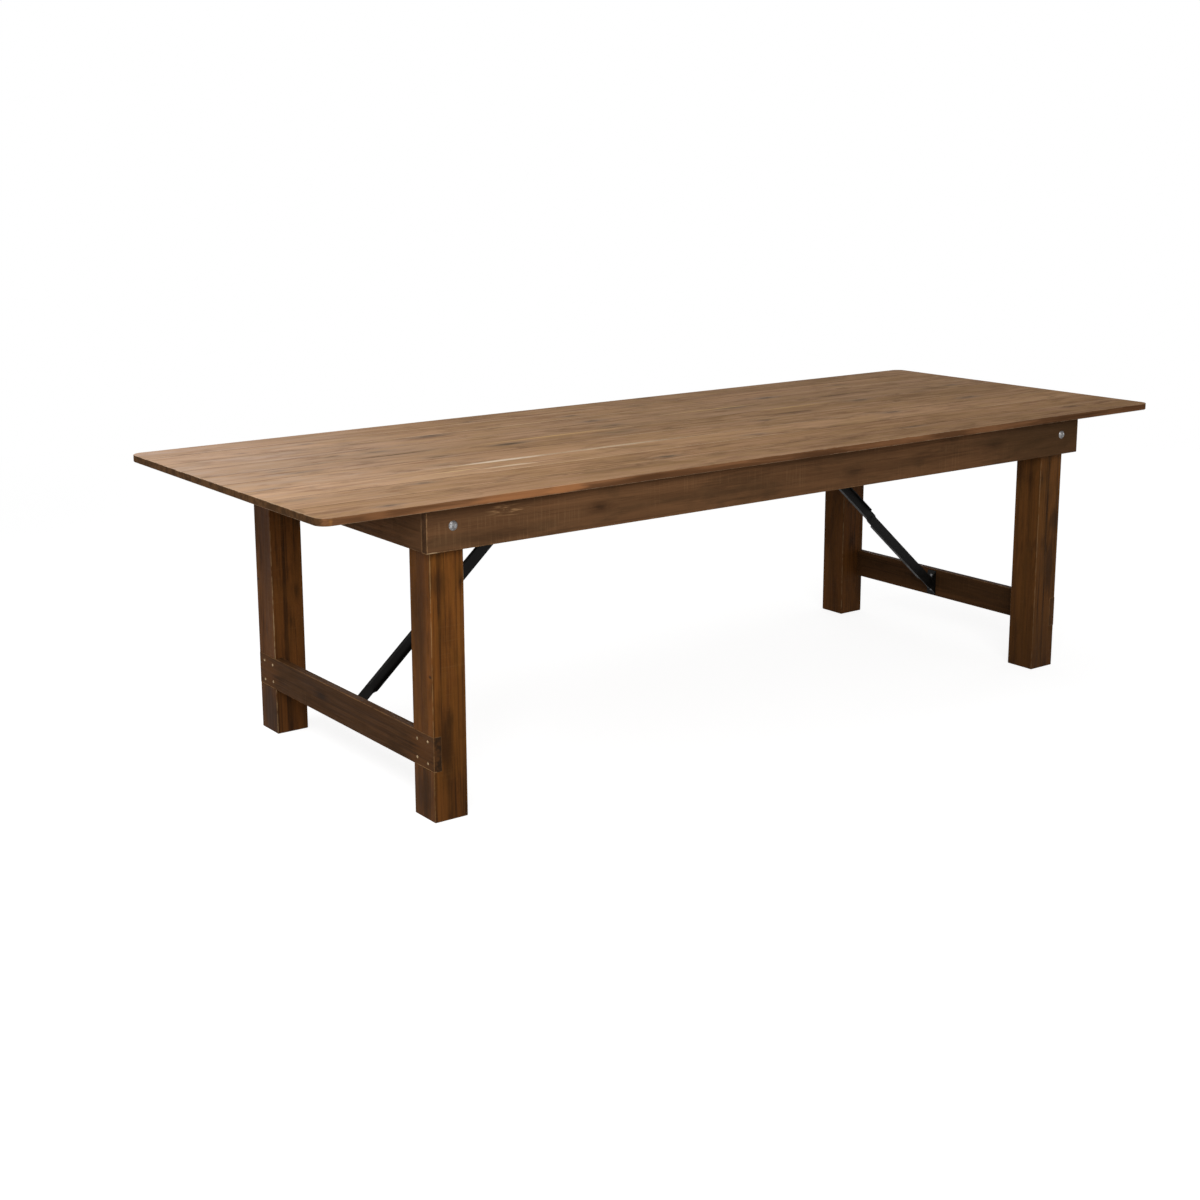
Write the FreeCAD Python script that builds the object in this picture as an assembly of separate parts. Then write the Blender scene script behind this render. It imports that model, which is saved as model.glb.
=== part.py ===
import FreeCAD, Part
import math
import os

# A folding farmhouse table: a planked top on a four-board apron, two pairs of legs that
# fold inward on their bolts, and a two-link steel brace under each end.
# The origin is on the floor under the middle of the top. +X runs along the top, +Z is up.
# All lengths are in mm and all angles in degrees.

# Planked top
table_length = 2743
table_width = 1016
table_height = 762
top_thickness = 18
plank_width_shares = (0.104, 0.104, 0.105, 0.106, 0.113, 0.114, 0.113, 0.119, 0.122)
corner_radius = 30
top_edge_round = 1.2
seam_chamfer = 0.8

# Apron boards
end_overhang = 279
side_overhang = 36
apron_thickness = 22
apron_depth = 103
arris = 1.5

# Legs
leg_side = 89
leg_arris = 1.5
leg_foot_arris = 1.5
leg_end_gap = 2.5
leg_side_gap = 9
bolt_drop = 46

# Stretcher let into the legs
stretcher_thickness = 21
stretcher_height = 84
stretcher_bottom = 122
stretcher_arris = 1

# Boards and cleats under the top
batten_thickness = 19
batten_width = 90
batten_leg_gap = 15
end_batten_inset = 92
cleat_side = 22
cleat_leg_gap = 27
hidden_arris = 2

# Leg bolts, with a square neck, a spacer, a washer and a nut
bolt_radius = 5
bolt_head_radius = 11.5
bolt_head_rise = 5.5
bolt_neck_side = 10.4
bolt_neck_length = 6
bolt_end_length = 4
spacer_radius = 16
washer_radius = 11
washer_thickness = 2
nut_thickness = 8
nut_across_flats = 17

# Brace links: channels back to back, with their open sides outward
brace_reach = 597.5
channel_width = 30
channel_depth = 12
channel_steel = 2.5
bracket_end_setback = 46
knee_end_setback = 17
link_gap = 4
rivet_radius = 4
rivet_head_radius = 7.5
rivet_head_rise = 2.5
rivet_tail_thickness = 1.6
knee_washer_radius = 11

# Brackets of the brace
bracket_steel = 3
bracket_flange = 34
bracket_boss_radius = 13
foot_bracket_inset = 4
top_bracket_inset = 14
bracket_corner_radius = 5
bracket_bend_radius = 2.5

# Clearances
running_clearance = 0.05
fixed_clearance = 0.1
side_play = 0.2
half_knee_gap = 0.2

half_turn = 180
quarter_turn = 90
full_turn = 360
nut_sides = 6
half = 0.5
aligned_share = 0.01

# Places worked out from the sizes above
half_length = table_length * half
half_width = table_width * half
top_underside = table_height - top_thickness
apron_bottom = top_underside - apron_depth
apron_end = half_length - end_overhang
apron_side = half_width - side_overhang
apron_end_inside = apron_end - apron_thickness
apron_side_inside = apron_side - apron_thickness
leg_outer_x = apron_end_inside - leg_end_gap
leg_outer_y = apron_side_inside - leg_side_gap
leg_inner_y = leg_outer_y - leg_side
leg_x = leg_outer_x - leg_side * half
bolt_z = top_underside - bolt_drop
stretcher_inner_x = leg_outer_x - stretcher_thickness
stretcher_middle = stretcher_bottom + stretcher_height * half
batten_underside = top_underside - batten_thickness
batten_x = leg_x - brace_reach
batten_reach = leg_inner_y - batten_leg_gap
end_batten_x = apron_end_inside - end_batten_inset
end_cleat_reach = leg_inner_y - cleat_leg_gap
folded_foot_x = leg_x - bolt_z
side_cleat_reach = folded_foot_x - cleat_leg_gap

# The brace runs straight from the stretcher to the top bracket when the legs are open.
# Its two lengths are such that both links lie along the top when the legs are folded.
brace_drop = bolt_z - stretcher_middle
open_span = math.hypot(brace_reach, brace_drop)
folded_span = brace_reach - brace_drop
lower_link_length = (open_span - folded_span) * half
upper_link_length = (open_span + folded_span) * half
brace_angle = math.degrees(math.atan2(brace_drop, brace_reach))
web_y = link_gap * half
link_outer_y = web_y + channel_depth
ear_y = web_y + channel_steel + side_play
foot_bracket_length = stretcher_height - foot_bracket_inset - foot_bracket_inset
top_bracket_length = batten_width - top_bracket_inset - top_bracket_inset

x_way = FreeCAD.Vector(1, 0, 0)
y_way = FreeCAD.Vector(0, 1, 0)
z_way = FreeCAD.Vector(0, 0, 1)


def point(x, y, z):
    return FreeCAD.Vector(x, y, z)


def block(x, y, z):
    """A box between two values on each axis."""
    low = point(min(x), min(y), min(z))
    return Part.makeBox(max(x) - min(x), max(y) - min(y), max(z) - min(z), low)


def placed(shape, at, along):
    """A shape drawn about the Z axis, moved so that its +Z points along a given way."""
    moved = shape.copy()
    moved.Placement = FreeCAD.Placement(at, FreeCAD.Rotation(z_way, along))
    return moved


def turned(shape):
    """The same shape at the other end of the table."""
    moved = shape.copy()
    moved.rotate(point(0, 0, 0), z_way, half_turn)
    return moved


def mirrored(shape):
    """The same shape on the other long side of the table."""
    return shape.mirror(point(0, 0, 0), y_way)


def straight_edges(shape, way):
    """The straight edges of a shape that run along a given way."""
    found = []
    for edge in shape.Edges:
        if not isinstance(edge.Curve, Part.Line):
            continue
        if edge.Curve.Direction.cross(way).Length < aligned_share:
            found.append(edge)
    return found


def planed(shape, way, width):
    """A board with the sharp edges along one way planed off."""
    return shape.makeChamfer(width, straight_edges(shape, way))


def ring(outer_radius, inner_radius, height):
    disc = Part.makeCylinder(outer_radius, height)
    return disc.cut(Part.makeCylinder(inner_radius, height))


def dome(radius, rise):
    """A shallow dome on the plane z = 0 that rises towards -Z."""
    ball_radius = (radius * radius + rise * rise) / (rise + rise)
    middle = math.asin(radius / ball_radius) * half
    side = point(radius, 0, 0)
    on_arc = point(ball_radius * math.sin(middle), 0, ball_radius - rise - ball_radius * math.cos(middle))
    tip = point(0, 0, -rise)
    edges = [
        Part.LineSegment(point(0, 0, 0), side).toShape(),
        Part.Arc(side, on_arc, tip).toShape(),
        Part.LineSegment(tip, point(0, 0, 0)).toShape(),
    ]
    return Part.Face(Part.Wire(edges)).revolve(point(0, 0, 0), z_way, full_turn)


def joined(first, *others):
    result = first
    for other in others:
        result = result.fuse(other)
    return result.removeSplitter()


def save(name, *solids):
    """Write one named sub-part, made of one or more separate solids."""
    shape = solids[0] if len(solids) == 1 else Part.makeCompound(list(solids))
    shape.exportStep("parts/" + name + ".step")


def button(radius, rise):
    """A low head on the plane z = 0 that narrows towards -Z."""
    return Part.makeCone(radius - rise, radius, rise, point(0, 0, -rise))


# Planked top


def top_blank():
    """The whole top with its rounded corners and edges, before it is parted into planks."""
    slab = block(
        (-half_length, half_length),
        (-half_width, half_width),
        (top_underside, table_height),
    )
    slab = slab.makeFillet(corner_radius, straight_edges(slab, z_way))
    upper_rim = [edge for edge in slab.Edges if edge.BoundBox.ZMin > table_height - top_edge_round]
    slab = slab.makeFillet(top_edge_round, upper_rim)
    lower_rim = [edge for edge in slab.Edges if edge.BoundBox.ZMax < top_underside + top_edge_round]
    return slab.makeChamfer(arris, lower_rim)


def seam_groove(y):
    """A small V along a seam, cut from the planks on both sides of it."""
    corners = [
        point(-half_length, y - seam_chamfer, table_height),
        point(-half_length, y, table_height - seam_chamfer),
        point(-half_length, y + seam_chamfer, table_height),
        point(-half_length, y - seam_chamfer, table_height),
    ]
    return Part.Face(Part.makePolygon(corners)).extrude(x_way * table_length)


def plank_sides():
    """The two long sides of each plank, from the back of the table to the front."""
    sides = []
    back = half_width
    total = sum(plank_width_shares)
    for share in plank_width_shares:
        front = back - share / total * table_width
        sides.append((front, back))
        back = front
    return sides


def make_planks():
    blank = top_blank()
    for number, (front, back) in enumerate(plank_sides()):
        plank = blank.common(block((-half_length, half_length), (front, back), (top_underside, table_height)))
        grooves = [seam_groove(side) for side in (front, back) if abs(side) < half_width - seam_chamfer]
        plank = plank.cut(grooves)
        save("top_plank_" + str(number + 1), plank.Solids[0])


# Apron


def bolt_hole(y_low, y_high, radius):
    hole = Part.makeCylinder(radius, y_high - y_low)
    return placed(hole, point(leg_x, y_low, bolt_z), y_way)


def long_apron():
    """The back apron board, with a round hole and a square seat for each bolt's neck."""
    board = block((-apron_end, apron_end), (apron_side_inside, apron_side), (apron_bottom, top_underside))
    board = planed(board, x_way, arris)
    hole = bolt_hole(apron_side_inside, apron_side, bolt_radius + fixed_clearance)
    neck_half = bolt_neck_side * half + fixed_clearance
    seat = block(
        (leg_x - neck_half, leg_x + neck_half),
        (apron_side - bolt_neck_length - fixed_clearance, apron_side),
        (bolt_z - neck_half, bolt_z + neck_half),
    )
    holes = joined(hole, seat)
    return board.cut([holes, holes.mirror(point(0, 0, 0), x_way)])


def end_apron():
    """The right apron board, which fits between the two long ones."""
    board = block(
        (apron_end_inside, apron_end),
        (-apron_side_inside, apron_side_inside),
        (apron_bottom, top_underside),
    )
    return planed(board, y_way, arris)


def make_apron():
    back = long_apron()
    save("back_apron", back)
    save("front_apron", turned(back))
    right = end_apron()
    save("right_end_apron", right)
    save("left_end_apron", turned(right))


# Boards and cleats glued under the top


def batten(x, reach):
    """A flat board across the underside of the planks."""
    board = block(
        (x - batten_width * half, x + batten_width * half),
        (-reach, reach),
        (batten_underside, top_underside),
    )
    return planed(board, y_way, hidden_arris)


def make_battens():
    save("middle_batten", batten(0, apron_side_inside - cleat_side))
    for end, side in (("right", 1), ("left", -1)):
        save(end + "_brace_batten", batten(side * batten_x, batten_reach))
        save(end + "_end_batten", batten(side * end_batten_x, batten_reach))


def make_cleats():
    """Square strips in the corner between the top and the apron."""
    under = (top_underside - cleat_side, top_underside)
    side_y = (apron_side_inside - cleat_side, apron_side_inside)
    side_strip = planed(block((-side_cleat_reach, side_cleat_reach), side_y, under), x_way, hidden_arris)
    save("back_cleat", side_strip)
    save("front_cleat", turned(side_strip))
    end_x = (apron_end_inside - cleat_side, apron_end_inside)
    end_strip = planed(block(end_x, (-end_cleat_reach, end_cleat_reach), under), y_way, hidden_arris)
    save("right_end_cleat", end_strip)
    save("left_end_cleat", turned(end_strip))


# Leg bolts


def leg_bolt():
    """The back right bolt: a domed head, a square neck and a shank towards the middle."""
    inner_face = leg_inner_y - side_play - washer_thickness - nut_thickness
    length = apron_side - inner_face + bolt_end_length
    neck_half = bolt_neck_side * half
    neck = block((-neck_half, neck_half), (-neck_half, neck_half), (0, bolt_neck_length))
    bolt = joined(dome(bolt_head_radius, bolt_head_rise), neck, Part.makeCylinder(bolt_radius, length))
    return placed(bolt, point(leg_x, apron_side, bolt_z), -y_way)


def spacer():
    """The thick washer that holds the leg off the long apron."""
    collar = ring(spacer_radius, bolt_radius + fixed_clearance, leg_side_gap - side_play)
    return placed(collar, point(leg_x, apron_side_inside, bolt_z), -y_way)


def inner_washer():
    disc = ring(washer_radius, bolt_radius + fixed_clearance, washer_thickness)
    return placed(disc, point(leg_x, leg_inner_y - side_play, bolt_z), -y_way)


def nut():
    """A hexagonal nut on the bolt's inner end."""
    corner = nut_across_flats * half / math.cos(math.pi / nut_sides)
    corners = []
    for number in range(nut_sides + 1):
        angle = math.radians(number * full_turn / nut_sides)
        corners.append(point(corner * math.cos(angle), corner * math.sin(angle), 0))
    body = Part.Face(Part.makePolygon(corners)).extrude(z_way * nut_thickness)
    body = body.cut(Part.makeCylinder(bolt_radius + fixed_clearance, nut_thickness))
    at = point(leg_x, leg_inner_y - side_play - washer_thickness, bolt_z)
    return placed(body, at, -y_way)


def at_four_legs(shape):
    other_side = mirrored(shape)
    return [shape, other_side, turned(shape), turned(other_side)]


def make_leg_bolts():
    save("leg_bolts", *at_four_legs(leg_bolt()))
    save("leg_spacers", *at_four_legs(spacer()))
    save("leg_washers", *at_four_legs(inner_washer()))
    save("leg_nuts", *at_four_legs(nut()))


# Legs and stretcher


def leg_blank():
    """A square leg with a half-round top about its bolt, so that it clears the planks."""
    reach = leg_side * half
    crown = bolt_z + reach
    stick = block((leg_x - reach, leg_x + reach), (leg_inner_y, leg_outer_y), (0, crown))
    stick = planed(stick, z_way, leg_arris)
    foot_edges = [edge for edge in stick.Edges if edge.BoundBox.ZMax < leg_foot_arris]
    stick = stick.makeChamfer(leg_foot_arris, foot_edges)
    foot = block((leg_x - reach, leg_x + reach), (leg_inner_y, leg_outer_y), (0, bolt_z))
    head = placed(Part.makeCylinder(reach, leg_side), point(leg_x, leg_inner_y, bolt_z), y_way)
    return stick.common(foot.fuse(head))


def stretcher_block():
    return block(
        (stretcher_inner_x, leg_outer_x),
        (-leg_outer_y, leg_outer_y),
        (stretcher_bottom, stretcher_bottom + stretcher_height),
    )


def back_leg():
    """The right back leg, housed for the stretcher and bored for its bolt."""
    bore = bolt_hole(leg_inner_y, leg_outer_y, bolt_radius + running_clearance)
    return leg_blank().cut([stretcher_block(), bore])


def make_leg_frames():
    leg = back_leg()
    stretcher = planed(stretcher_block(), y_way, stretcher_arris)
    save("right_back_leg", leg)
    save("right_front_leg", mirrored(leg))
    save("left_front_leg", turned(leg))
    save("left_back_leg", turned(mirrored(leg)))
    save("right_stretcher", stretcher)
    save("left_stretcher", turned(stretcher))


# Brace. Everything below is drawn for the right end, where the lower link lies on the
# +Y side and the upper link on the -Y side, and is turned half round for the left end.


def link(length, side):
    """A channel from its bracket's pivot at the origin to the knee's pivot along +X.

    Its web lies near y = 0 and is round-ended. Its flanges stop short of both pivots."""
    reach = channel_width * half
    web_side = side * web_y
    inner_side = side * (web_y + channel_steel)
    outer_side = side * link_outer_y
    start = bracket_end_setback
    end = length - knee_end_setback
    outline = [
        point(start, web_side, -reach),
        point(start + channel_depth, outer_side, -reach),
        point(end - channel_depth, outer_side, -reach),
        point(end, web_side, -reach),
        point(start, web_side, -reach),
    ]
    body = Part.Face(Part.makePolygon(outline)).extrude(z_way * channel_width)
    inside = reach - channel_steel
    body = body.cut(block((0, length), (inner_side, outer_side), (-inside, inside)))
    web = block((0, length), (web_side, inner_side), (-reach, reach))
    holes = []
    for x in (0, length):
        at = point(x, min(web_side, inner_side), 0)
        web = web.fuse(placed(Part.makeCylinder(reach, channel_steel), at, y_way))
        hole = Part.makeCylinder(rivet_radius + running_clearance, channel_steel)
        holes.append(placed(hole, at, y_way))
    return joined(body, web).cut(holes)


def on_brace(shape, pivot, angle):
    """A shape drawn from a pivot at the origin, turned in the XZ plane and moved there."""
    moved = shape.copy()
    moved.rotate(point(0, 0, 0), -y_way, angle)
    moved.translate(pivot)
    return moved


def foot_pivot():
    """Straight below the leg's bolt, at the middle of the stretcher's height."""
    return point(leg_x, 0, stretcher_middle)


def top_pivot():
    return point(batten_x, 0, bolt_z)


def knee_pivot():
    angle = math.radians(brace_angle)
    reach = point(-lower_link_length * math.cos(angle), 0, lower_link_length * math.sin(angle))
    return foot_pivot() + reach


def lower_link():
    """From the stretcher's bracket up to the knee."""
    return on_brace(link(lower_link_length, 1), foot_pivot(), half_turn - brace_angle)


def upper_link():
    """From the bracket under the top down to the knee."""
    return on_brace(link(upper_link_length, -1), top_pivot(), -brace_angle)


def knee_rivet_half(side):
    """The knee's rivet is parted at y = 0, so that each link carries its own half of it:
    a washer between the webs, a shank in the web and a head."""
    washer = Part.makeCylinder(knee_washer_radius, web_y - half_knee_gap)
    shank = Part.makeCylinder(rivet_radius, channel_steel, point(0, 0, -channel_steel))
    head = button(rivet_head_radius, rivet_head_rise)
    head.translate(point(0, 0, -channel_steel))
    at = knee_pivot() + y_way * side * web_y
    return placed(joined(washer, shank, head), at, y_way * -side)


def angle_bracket(length, rise):
    """A steel angle with its pivot at the origin: an ear in the XZ plane on the -Y side
    and a flange with its outer face at z = rise."""
    reach = length * half
    ear_low = -ear_y - bracket_steel
    corners = [
        point(-reach, ear_low, rise),
        point(reach, ear_low, rise),
        point(bracket_boss_radius, ear_low, 0),
        point(-bracket_boss_radius, ear_low, 0),
        point(-reach, ear_low, rise),
    ]
    ear = Part.Face(Part.makePolygon(corners)).extrude(y_way * bracket_steel)
    boss_at = point(0, ear_low, 0)
    boss = placed(Part.makeCylinder(bracket_boss_radius, bracket_steel), boss_at, y_way)
    flange = block((-reach, reach), (-ear_y - bracket_flange, -ear_y), (rise - bracket_steel, rise))
    outer_corners = [edge for edge in straight_edges(flange, z_way) if edge.BoundBox.YMax < ear_low]
    flange = flange.makeFillet(bracket_corner_radius, outer_corners)
    plate = joined(ear, boss, flange)
    bend = [
        edge for edge in straight_edges(plate, x_way)
        if edge.BoundBox.ZMin > rise - running_clearance and edge.BoundBox.YMin > -ear_y - running_clearance
    ]
    plate = plate.makeFillet(bracket_bend_radius, bend)
    hole = placed(Part.makeCylinder(rivet_radius + fixed_clearance, bracket_steel), boss_at, y_way)
    return plate.cut(hole)


def on_top(shape):
    """From the bracket's own frame to the right end's place under the top."""
    moved = shape.copy()
    moved.translate(top_pivot())
    return moved


def on_stretcher(shape):
    """From the bracket's own frame to the right stretcher, with the ear on the +Y side."""
    moved = shape.copy()
    moved.rotate(point(0, 0, 0), y_way, quarter_turn)
    moved = mirrored(moved)
    moved.translate(foot_pivot())
    return moved


def top_bracket_rise():
    return batten_underside - bolt_z


def foot_bracket_rise():
    return stretcher_inner_x - leg_x


def bracket_rivet():
    """Through the bracket's ear and the link's web, in the bracket's own frame."""
    outer = ear_y + bracket_steel
    grip = outer - web_y + side_play
    shank = Part.makeCylinder(rivet_radius, grip)
    tail = Part.makeCylinder(rivet_head_radius, rivet_tail_thickness, point(0, 0, grip))
    body = joined(button(rivet_head_radius, rivet_head_rise), shank, tail)
    return placed(body, point(0, -outer, 0), y_way)


def make_braces():
    for name, shape in (
        ("lower_link", lower_link()),
        ("lower_knee_rivet", knee_rivet_half(1)),
        ("upper_link", upper_link()),
        ("upper_knee_rivet", knee_rivet_half(-1)),
        ("foot_bracket", on_stretcher(angle_bracket(foot_bracket_length, foot_bracket_rise()))),
        ("foot_rivet", on_stretcher(bracket_rivet())),
        ("top_bracket", on_top(angle_bracket(top_bracket_length, top_bracket_rise()))),
        ("top_rivet", on_top(bracket_rivet())),
    ):
        save("right_" + name, shape)
        save("left_" + name, turned(shape))


os.makedirs("parts", exist_ok=True)
make_planks()
make_apron()
make_battens()
make_cleats()
make_leg_bolts()
make_leg_frames()
make_braces()
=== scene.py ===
import bpy
import math
from mathutils import Matrix, Vector

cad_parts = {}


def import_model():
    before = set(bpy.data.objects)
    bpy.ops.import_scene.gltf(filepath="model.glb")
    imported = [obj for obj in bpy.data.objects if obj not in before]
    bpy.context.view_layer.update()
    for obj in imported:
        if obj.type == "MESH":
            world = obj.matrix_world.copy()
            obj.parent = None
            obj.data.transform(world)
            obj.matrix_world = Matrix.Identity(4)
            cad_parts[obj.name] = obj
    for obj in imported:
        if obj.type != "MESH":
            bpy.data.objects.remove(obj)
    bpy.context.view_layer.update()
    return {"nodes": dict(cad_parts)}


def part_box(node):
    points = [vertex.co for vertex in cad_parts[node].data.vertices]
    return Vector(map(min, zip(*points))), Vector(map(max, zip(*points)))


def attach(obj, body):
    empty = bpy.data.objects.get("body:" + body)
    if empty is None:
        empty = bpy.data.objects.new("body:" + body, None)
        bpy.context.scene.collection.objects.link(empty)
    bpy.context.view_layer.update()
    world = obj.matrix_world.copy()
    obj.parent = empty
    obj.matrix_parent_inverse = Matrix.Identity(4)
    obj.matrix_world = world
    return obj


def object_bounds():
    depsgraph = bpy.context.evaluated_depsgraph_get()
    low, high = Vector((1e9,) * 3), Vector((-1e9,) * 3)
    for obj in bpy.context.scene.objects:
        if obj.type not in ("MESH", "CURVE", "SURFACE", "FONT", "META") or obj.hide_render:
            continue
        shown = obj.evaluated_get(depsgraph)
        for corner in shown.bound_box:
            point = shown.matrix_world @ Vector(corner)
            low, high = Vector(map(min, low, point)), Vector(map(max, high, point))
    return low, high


# The farmhouse table's looks: stained wood for every board, zinc and black steel, small
# screws, floor, light and camera. Lengths are in metres, in the frame of the CAD model.

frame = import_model()
nodes = frame["nodes"]


def colour(red, green, blue):
    """A colour as a screen shows it, from 0 to 255, as the shader wants it."""
    parts = []
    for part in (red, green, blue):
        part /= 255
        parts.append(part / 12.92 if part <= 0.04045 else ((part + 0.055) / 1.055) ** 2.4)
    return (*parts, 1.0)


class Net:
    """One material, with short calls for its nodes."""

    def __init__(self, name):
        self.material = bpy.data.materials.new(name)
        self.material.use_nodes = True
        self.tree = self.material.node_tree
        self.tree.nodes.clear()
        self.output = self.add("OutputMaterial")
        self.shader = self.add("BsdfPrincipled")
        self.link(self.shader.outputs[0], self.output.inputs["Surface"])

    def add(self, kind):
        return self.tree.nodes.new("ShaderNode" + kind)

    def link(self, source, target):
        self.tree.links.new(source, target)

    def put(self, socket, value):
        if isinstance(value, bpy.types.NodeSocket):
            self.link(value, socket)
        else:
            socket.default_value = value

    def math(self, operation, *values):
        node = self.add("Math")
        node.operation = operation
        for socket, value in zip(node.inputs, values):
            self.put(socket, value)
        return node.outputs[0]

    def times(self, first, second):
        return self.math("MULTIPLY", first, second)

    def minus(self, first, second):
        return self.math("SUBTRACT", first, second)

    def fused(self, first, second, third):
        """first * second + third"""
        return self.math("MULTIPLY_ADD", first, second, third)

    def length(self, first, second):
        """How long a flat vector is."""
        squares = self.math("ADD", self.times(first, first), self.times(second, second))
        return self.math("SQRT", squares)

    def span(self, value, low, high, to_low=0.0, to_high=1.0):
        """A smooth step from one number to another while the value goes from low to high."""
        node = self.add("MapRange")
        node.interpolation_type = "SMOOTHSTEP"
        for socket, number in zip(node.inputs, (value, low, high, to_low, to_high)):
            self.put(socket, number)
        return node.outputs[0]

    def vector(self, x, y, z):
        node = self.add("CombineXYZ")
        for socket, value in zip(node.inputs, (x, y, z)):
            self.put(socket, value)
        return node.outputs[0]

    def split(self, vector):
        node = self.add("SeparateXYZ")
        self.put(node.inputs[0], vector)
        return list(node.outputs)

    def scaled(self, vector, factors, shift):
        """vector * factors + shift"""
        node = self.add("VectorMath")
        node.operation = "MULTIPLY_ADD"
        self.put(node.inputs[0], vector)
        node.inputs[1].default_value = factors
        node.inputs[2].default_value = shift
        return node.outputs[0]

    def noise(self, vector, factors, shift, detail=3.0, rough=0.55, twist=0.0, whole=False):
        """Noise with so many features in a metre on each axis: a value, or the whole colour."""
        node = self.add("TexNoise")
        self.put(node.inputs["Vector"], self.scaled(vector, factors, shift))
        node.inputs["Scale"].default_value = 1.0
        node.inputs["Detail"].default_value = detail
        node.inputs["Roughness"].default_value = rough
        node.inputs["Distortion"].default_value = twist
        return node.outputs["Color" if whole else 0]

    def random(self, value):
        """A random number for each whole number."""
        node = self.add("TexWhiteNoise")
        node.noise_dimensions = "1D"
        self.put(node.inputs["W"], value)
        return node.outputs[0]

    def mix(self, share, first, second, blend="MIX"):
        """The first colour with a share of the second, on the node's colour sockets."""
        node = self.add("Mix")
        node.data_type = "RGBA"
        node.blend_type = blend
        self.put(node.inputs["Factor"], share)
        self.put(node.inputs[6], first)
        self.put(node.inputs[7], second)
        return node.outputs[2]

    def largest(self, values):
        result = values[0]
        for value in values[1:]:
            result = self.math("MAXIMUM", result, value)
        return result

    def bump(self, height, distance, strength):
        node = self.add("Bump")
        node.inputs["Strength"].default_value = strength
        node.inputs["Distance"].default_value = distance
        self.link(height, node.inputs["Height"])
        self.link(node.outputs[0], self.shader.inputs["Normal"])


# Wood

# The axis along the grain and the two across it
GRAIN = {"x": (0, 1, 2), "y": (1, 0, 2), "z": (2, 0, 1)}

# Colours are as a screen shows them. ring is the distance between growth rings, stripe the
# stripes in a metre across the grain, and stain_long the stains in a metre along it. A calm
# under 1 quietens the stripes on the faces towards the table's ends. worn_width is the depth
# of the wear along the edges, and rough the range of the roughness. Each share is how
# strongly its colour covers what lies below it.
LOOKS = {
    "top": dict(
        early=(188, 149, 116), mid=(164, 129, 95), late=(122, 91, 63), stain=(132, 104, 77),
        knot=(68, 55, 45), smudge=(134, 115, 97), worn=(208, 180, 150), pore=(104, 79, 58),
        fleck=(120, 88, 66), cast=(166, 132, 92), grey=(187, 164, 148),
        ring=0.0052, ring_share=0.3, stripe=95, stripe_share=0.46, calm=1.0, line_share=0.5,
        stain_share=0.8, stain_long=6.0, fleck_share=0.5, cast_share=0.44, grey_share=0.62,
        saw_share=0.0, painted_foot_shade=0.0, worn_width=0.0016, worn_share=0.4,
        specular=0.03, rough=(0.74, 0.92),
    ),
    "apron": dict(
        early=(116, 81, 53), mid=(98, 68, 44), late=(70, 47, 30), stain=(72, 53, 35),
        knot=(42, 28, 18), smudge=(70, 47, 30), worn=(170, 130, 90), pore=(50, 36, 24),
        end=(92, 64, 42), fleck=(74, 50, 33), cast=(108, 78, 52),
        ring=0.0065, ring_share=0.2, stripe=70, stripe_share=0.35, calm=1.0, line_share=0.35,
        stain_share=0.6, stain_long=4, fleck_share=0.25, cast_share=0.2, grey_share=0.0,
        saw_share=0.14, painted_foot_shade=0.0, worn_width=0.0020, worn_share=0.6,
        specular=0.04, rough=(0.64, 0.84),
    ),
    "leg": dict(
        early=(140, 85, 38), mid=(104, 62, 28), late=(52, 30, 14), stain=(62, 39, 19),
        knot=(30, 19, 11), smudge=(52, 30, 14), worn=(190, 156, 112), pore=(46, 28, 14),
        end=(54, 36, 20), fleck=(66, 39, 18), cast=(118, 74, 30),
        ring=0.0085, ring_share=0.14, stripe=88, stripe_share=0.8, calm=0.3, line_share=0.4,
        stain_share=0.6, stain_long=3.4, fleck_share=0.45, cast_share=0.36, grey_share=0.0,
        # The legs get painted shade, darker towards the floor
        saw_share=0.04, painted_foot_shade=0.4, worn_width=0.0017, worn_share=0.8,
        specular=0.05, rough=(0.5, 0.68),
    ),
    "stretcher": dict(
        early=(84, 55, 31), mid=(66, 43, 24), late=(44, 28, 16), stain=(50, 34, 20),
        knot=(28, 19, 12), smudge=(44, 28, 16), worn=(160, 118, 76), pore=(36, 24, 14),
        end=(44, 32, 22), fleck=(46, 30, 17), cast=(78, 52, 27),
        ring=0.007, ring_share=0.25, stripe=80, stripe_share=0.5, calm=1.0, line_share=0.35,
        stain_share=0.5, stain_long=3.4, fleck_share=0.3, cast_share=0.24, grey_share=0.0,
        saw_share=0.05, painted_foot_shade=0.0, worn_width=0.0014, worn_share=0.6,
        specular=0.04, rough=(0.56, 0.74),
    ),
    "hidden": dict(
        early=(150, 117, 84), mid=(130, 98, 68), late=(100, 72, 47), stain=(108, 82, 58),
        worn=(166, 132, 96), pore=(84, 62, 42), end=(112, 84, 58),
        ring=0.006, ring_share=0.4, stripe=80, stripe_share=0.4, calm=1.0, line_share=0.3,
        stain_share=0.4, stain_long=3.4, fleck_share=0.0, grey_share=0.0,
        saw_share=0.2, painted_foot_shade=0.0, worn_width=0.001, worn_share=0.3,
        specular=0.06, rough=(0.65, 0.82),
    ),
}


# Each board's noise has so many features in a metre along the grain and on the two axes across
# it. A span turns the noise into a mark that fades in between its first two numbers.


def depths(net, place, box):
    """How far each point is inside a box's faces, for each axis."""
    inside = []
    for axis in range(3):
        middle = (box[0][axis] + box[1][axis]) / 2
        half = (box[1][axis] - box[0][axis]) / 2
        inside.append(net.minus(half, net.math("ABSOLUTE", net.minus(place[axis], middle))))
    return inside


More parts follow.
